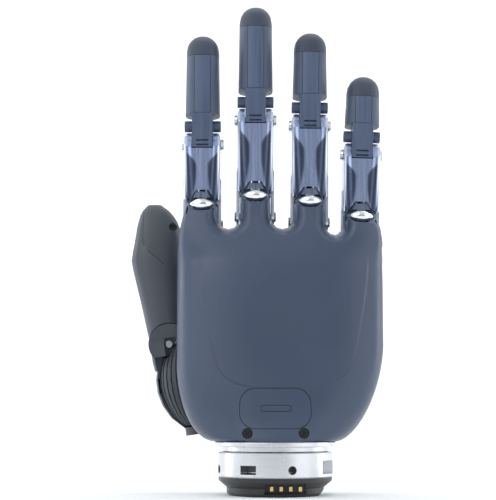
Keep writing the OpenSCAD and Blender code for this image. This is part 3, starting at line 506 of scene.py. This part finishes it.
def rim_distance(side, x, z):
    """How far a point of the palm is from the upper edge, the columns' sides and the webs."""
    spans = []
    for f, (across, knuckle) in enumerate(KNUCKLES):
        left = -100 if f == 0 else across - HALF_W[side]
        right = 100 if f == 3 else across + HALF_W[side]
        spans.append((left, right, knuckle + TOP[side]))
    for left, right, top in spans:
        if left <= x <= right:
            near = top - z
            if side == 0:
                f = spans.index((left, right, top))
                for edge, sign, web in ((left, 1, f - 1), (right, -1, f)):
                    if 0 <= web < 3 and z > WEB_Z[web] - 4:
                        a, b = spans[web][1], spans[web + 1][0]
                        r = (b - a) / 2
                        away = math.hypot(x - (a + b) / 2, min(0, z - WEB_Z[web] - r)) - r
                        near = min(near, away)
                    elif 0 <= web < 3:
                        a, b = spans[web][1], spans[web + 1][0]
                        r = (b - a) / 2
                        near = min(near, math.hypot(x - (a + b) / 2, z - WEB_Z[web] - r) - r)
            return near
    for f in range(3):
        a, b = spans[f][1], spans[f + 1][0]
        if a < x < b:
            r = (b - a) / 2
            if side == 0:
                return math.hypot(x - (a + b) / 2, min(0, z - WEB_Z[f] - r)) - r
            t = (x - a) / (b - a)
            return spans[f][2] * (1 - t) + spans[f + 1][2] * t + 4 * math.sin(math.pi * t) - z
    return 10


def palm_shape(side, x, y, z):
    """Zero on the palm's surface: share across, share of the depth, and how near the rim."""
    left, right = sides(z)
    u = abs((2 * x - left - right) / (right - left))
    depth = (back_depth if side == 0 else face_depth)(z - PALM_Z) * PALM_DEPTH / 18
    v = max(0.0, abs(y) - SEAM) / depth
    p = roundness(z - PALM_Z)
    s = rim_distance(side, x, z)
    rim = max(0.0, 1 - max(s, 0) / ROUND)
    if u < 0.8:
        e = (1 - u ** p) ** (1 / p)
        return (v / e) ** 2 + rim ** 2 - 1
    full = math.sqrt(max(0.01, 1 - rim ** 2))
    return u ** p + (v / full) ** p - 1


def palm_normal(side, co):
    h = 0.08
    grads = []
    for axis in range(3):
        a, b = list(co), list(co)
        a[axis] -= h
        b[axis] += h
        grads.append(palm_shape(side, *b) - palm_shape(side, *a))
    if side == 0 and abs(co[1]) < SEAM + h:
        grads[1] = -abs(grads[1])
    n = Vector(grads)
    return n.normalized() if n.length > 1e-9 else Vector((0, -1 if side == 0 else 1, 0))


def lay_on_surface(side, co):
    """Moves a point of the coarse sheet out onto the curved surface, away from the rim."""
    x, y, z = co
    near = rim_distance(side, x, z)
    share = clip((near - 3.0) / 3.0, 0, 1)
    if share == 0:
        return co
    left, right = sides(z)
    middle, half = (left + right) / 2, (right - left) / 2
    depth = (back_depth if side == 0 else face_depth)(z - PALM_Z) * PALM_DEPTH / 18
    rim = max(0.0, 1 - max(near, 0) / ROUND)
    depth *= math.sqrt(1 - rim ** 2)
    u, v = abs(x - middle) / half, max(0.0, abs(y) - SEAM) / depth
    p = roundness(z - PALM_Z)
    grow = (u ** p + v ** p) ** (-1 / p)
    if not 0.9 < grow < 1.1:
        return co
    grow = 1 + (grow - 1) * share
    sign = -1 if y < 0 else 1
    return middle + (x - middle) * grow, sign * (SEAM + (abs(y) - SEAM) * grow) if abs(y) > SEAM else y, z


PANEL = ((-33.5, 103), (-32, 88.9), (-29.8, 71.3), (-28, 58.8), (-25.4, 47.7), (-21.6, 41.8), (-14.5, 38.5),
         (-8, 37.9), (12, 37.9), (20.3, 38.8), (28, 42.2), (31.5, 45.3), (33.9, 52.8), (36.2, 64.7),
         (38.3, 76.6), (39.5, 87.6), (40, 98))


def round_corners(points, times):
    for _ in range(times):
        cut = [points[0]]
        for (ax, az), (bx, bz) in zip(points, points[1:]):
            cut += [(ax * 0.75 + bx * 0.25, az * 0.75 + bz * 0.25),
                    (ax * 0.25 + bx * 0.75, az * 0.25 + bz * 0.75)]
        points = cut + [points[-1]]
    return points


PANEL_LINE = round_corners(list(PANEL), 2)


def panel_distance(x, z):
    """Distance from the crease round the raised panel, positive inside it."""
    best, sign = 1e9, 1
    for (ax, az), (bx, bz) in zip(PANEL_LINE, PANEL_LINE[1:]):
        dx, dz = bx - ax, bz - az
        t = clip(((x - ax) * dx + (z - az) * dz) / (dx * dx + dz * dz), 0, 1)
        px, pz = x - ax - t * dx, z - az - t * dz
        d = px * px + pz * pz
        if d < best:
            best, sign = d, 1 if dx * pz - dz * px > 0 else -1
    return sign * math.sqrt(best)


def palm_piece(node, side):
    """A copy of one of the palm's CAD nodes with a smooth outer sheet and true surface normals."""
    bm = merged_copy(node)
    bmesh.ops.scale(bm, vec=(1000, 1000, 1000), verts=bm.verts)
    outer = bm.faces.layers.int.new("outer")
    turn = -1 if side == 0 else 1
    for face in bm.faces:
        c = face.calc_center_median()
        if face.normal.y * turn > -0.02 and all(
                abs(palm_shape(side, *v.co)) < 0.1 or abs(abs(v.co.y) - SEAM) < 0.01 for v in face.verts):
            n = palm_normal(side, c)
            face[outer] = 1 if n.dot(face.normal) > 0.8 else 0
    low = [min(v.co[k] for v in bm.verts) for k in range(3)]
    high = [max(v.co[k] for v in bm.verts) for k in range(3)]
    for axis in (0, 2):
        plane = math.floor(low[axis] / CUT_PITCH) * CUT_PITCH + CUT_PITCH * 0.37
        normal = Vector((1, 0, 0)) if axis == 0 else Vector((0, 0, 1))
        while plane < high[axis]:
            faces = [f for f in bm.faces if f[outer]
                     and min(v.co[axis] for v in f.verts) < plane < max(v.co[axis] for v in f.verts)]
            geom = (faces + list({e for f in faces for e in f.edges})
                    + list({v for f in faces for v in f.verts}))
            if faces:
                bmesh.ops.bisect_plane(bm, geom=geom, dist=0.01, plane_co=normal * plane, plane_no=normal)
            plane += CUT_PITCH
    for v in bm.verts:
        if any(f[outer] for f in v.link_faces):
            v.co = lay_on_surface(side, v.co)
    for face in bm.faces:
        face.smooth = True
    for edge in bm.edges:
        kinds = {f[outer] for f in edge.link_faces}
        edge.smooth = len(edge.link_faces) == 2 and (
            kinds == {1} or kinds == {0} and edge.calc_face_angle(0) < math.radians(CREASE_ANGLE))
    bm.normal_update()
    bm.verts.index_update()
    panel = bm.verts.layers.float.new("panel")
    for v in bm.verts:
        v[panel] = panel_distance(v.co.x, v.co.z) * MM if side == 0 else 1
    normals = []
    cache = {}
    for face in bm.faces:
        for loop in face.loops:
            if not face[outer]:
                normals.append((0, 0, 0))
                continue
            v = loop.vert
            if v.index not in cache:
                cache[v.index] = tuple(palm_normal(side, v.co))
            normals.append(cache[v.index])
    bmesh.ops.scale(bm, vec=(MM, MM, MM), verts=bm.verts)
    piece = piece_from(bm, node)
    piece.data.normals_split_custom_set(normals)
    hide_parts(node)
    return piece


for node in ("dorsal_shell", "service_cover", "power_button"):
    palm_piece(node, 0)
palm_piece("palmar_shell", 1)

scene = bpy.context.scene
scene.view_settings.view_transform = "Standard"
